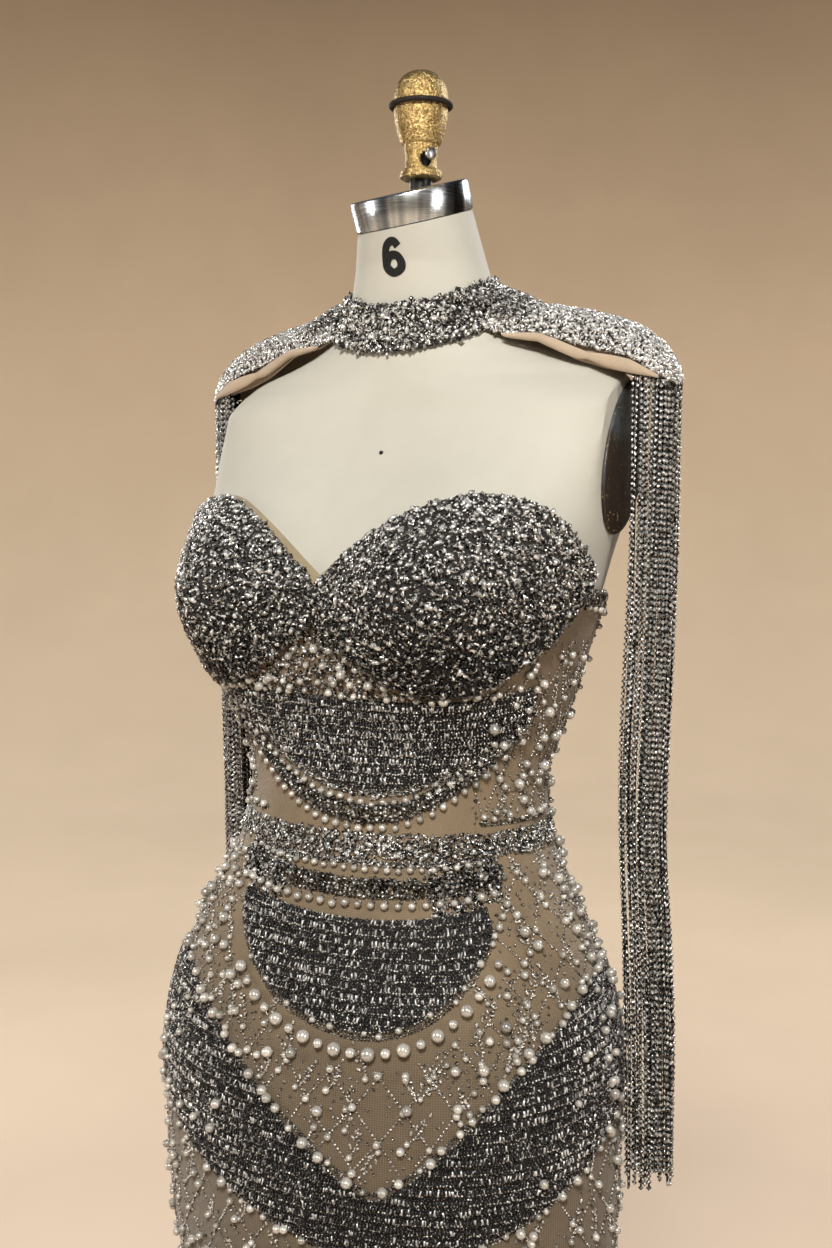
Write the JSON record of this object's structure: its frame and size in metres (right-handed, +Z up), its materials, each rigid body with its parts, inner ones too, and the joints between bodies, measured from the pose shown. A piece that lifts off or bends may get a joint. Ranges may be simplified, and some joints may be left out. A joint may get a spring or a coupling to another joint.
{
  "type": "evening gown on a dress form",
  "caption": "Fitted beaded evening gown with cups, halter collar and shoulder fringes, on a limbless dress form with a stand",
  "frame": {"origin": "on the floor, at the middle of the underside of the stand's base", "axes": "+Z up, the gown faces -Y, the wearer's left is +X"},
  "size_m": [0.5186, 0.5026, 1.62],
  "materials": {
    "linen": "smooth painted linen over a papier form",
    "armhole": "dark worn brown with a blue-grey patina",
    "chrome": "brushed, bright edges",
    "gold": "grained antique gold paint",
    "rubber": "dark brown",
    "black_metal": "satin black",
    "steel": "small bright hardware",
    "iron": "black, slightly rough",
    "net": "taupe net over a nude lining",
    "crystal": "packed crystals and bugles",
    "bugle": "rows of hematite bugles",
    "pearl": "round pearl beads",
    "lining": "matt nude lining cloth"
  },
  "bodies": {
    "gown_on_form": {"form_torso": "linen", "arm_plate_left": "armhole", "arm_plate_right": "armhole", "neck_cap": "chrome", "finial": "gold", "finial_band": "rubber", "finial_screw": "steel", "cap_post": "black_metal", "stand_base": "iron", "stand_pole": "black_metal", "stand_flange": "black_metal", "bodice_front": "net", "bodice_side_left": "net", "bodice_side_right": "net", "bodice_back_left": "net", "bodice_back_right": "net", "cup_left": "crystal", "cup_right": "crystal", "facing_left": "lining", "facing_right": "lining", "skirt_front": "net", "skirt_back_left": "net", "skirt_back_right": "net", "midriff_panel": "bugle", "belly_panel": "bugle", "hip_panel": "bugle", "midriff_swag": "crystal", "waist_swag": "crystal", "pearl_chain": "pearl", "waist_band": "crystal", "collar": "crystal", "shoulder_cap_left": "crystal", "shoulder_cap_right": "crystal", "shoulder_lining_left": "lining", "shoulder_lining_right": "lining", "fringe_left": "crystal", "fringe_right": "crystal", "zip_slider": "steel"},
    "zip_pull": {"zip_pull": "steel"}
  },
  "joints": [
    {"name": "zip_pull_hinge", "type": "hinge", "parent": "gown_on_form", "child": "zip_pull", "pos_m": [0, 0.07526, 1.176], "axis": [1, 0, 0], "range_deg": [0, 150]}
  ]
}
